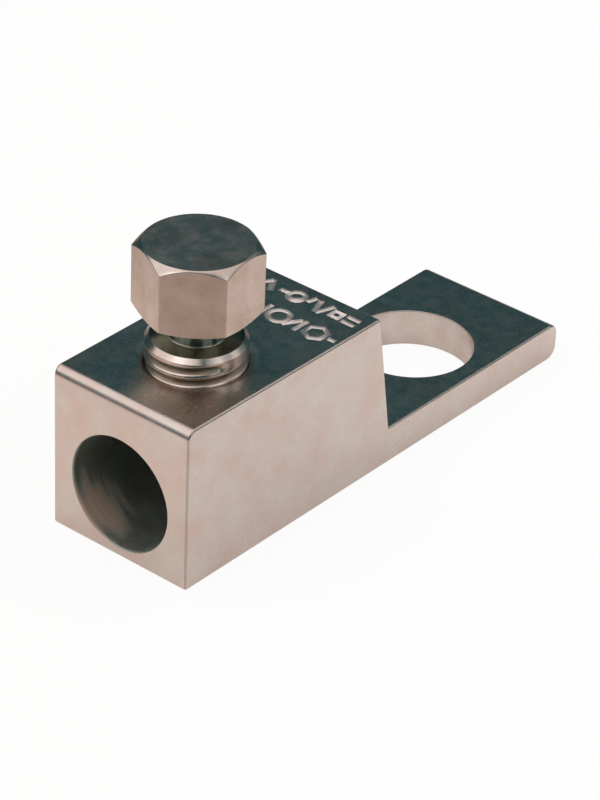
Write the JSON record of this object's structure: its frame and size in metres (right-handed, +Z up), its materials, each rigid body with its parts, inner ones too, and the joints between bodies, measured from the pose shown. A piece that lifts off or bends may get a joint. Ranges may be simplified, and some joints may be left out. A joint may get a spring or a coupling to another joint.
{
  "type": "mechanical cable lug",
  "caption": "Cable lug with a square block, a blind conductor bore, a clamping bolt with a twist-off hexagon head, and a flat palm with a stud hole.",
  "frame": {"origin": "centre of the palm's stud hole, on the flat face that seats on the busbar", "axes": "+X along the lug from the cable's mouth to the palm's tip, +Y across the lug, +Z up out of the seating face, along the stud and the clamping bolt"},
  "size_m": [0.0583, 0.017, 0.0301],
  "materials": {
    "plated_body": "plated, milled and tumbled",
    "plated_bolt": "plated, turned and milled"
  },
  "bodies": {
    "lug": {"lug_body": "plated_body"},
    "bolt": {"clamp_bolt": "plated_bolt"}
  },
  "joints": [
    {"name": "bolt_travel", "type": "slide", "parent": "lug", "child": "bolt", "axis": [0, 0, 1], "range_m": [-0.005, 0.003]}
  ]
}
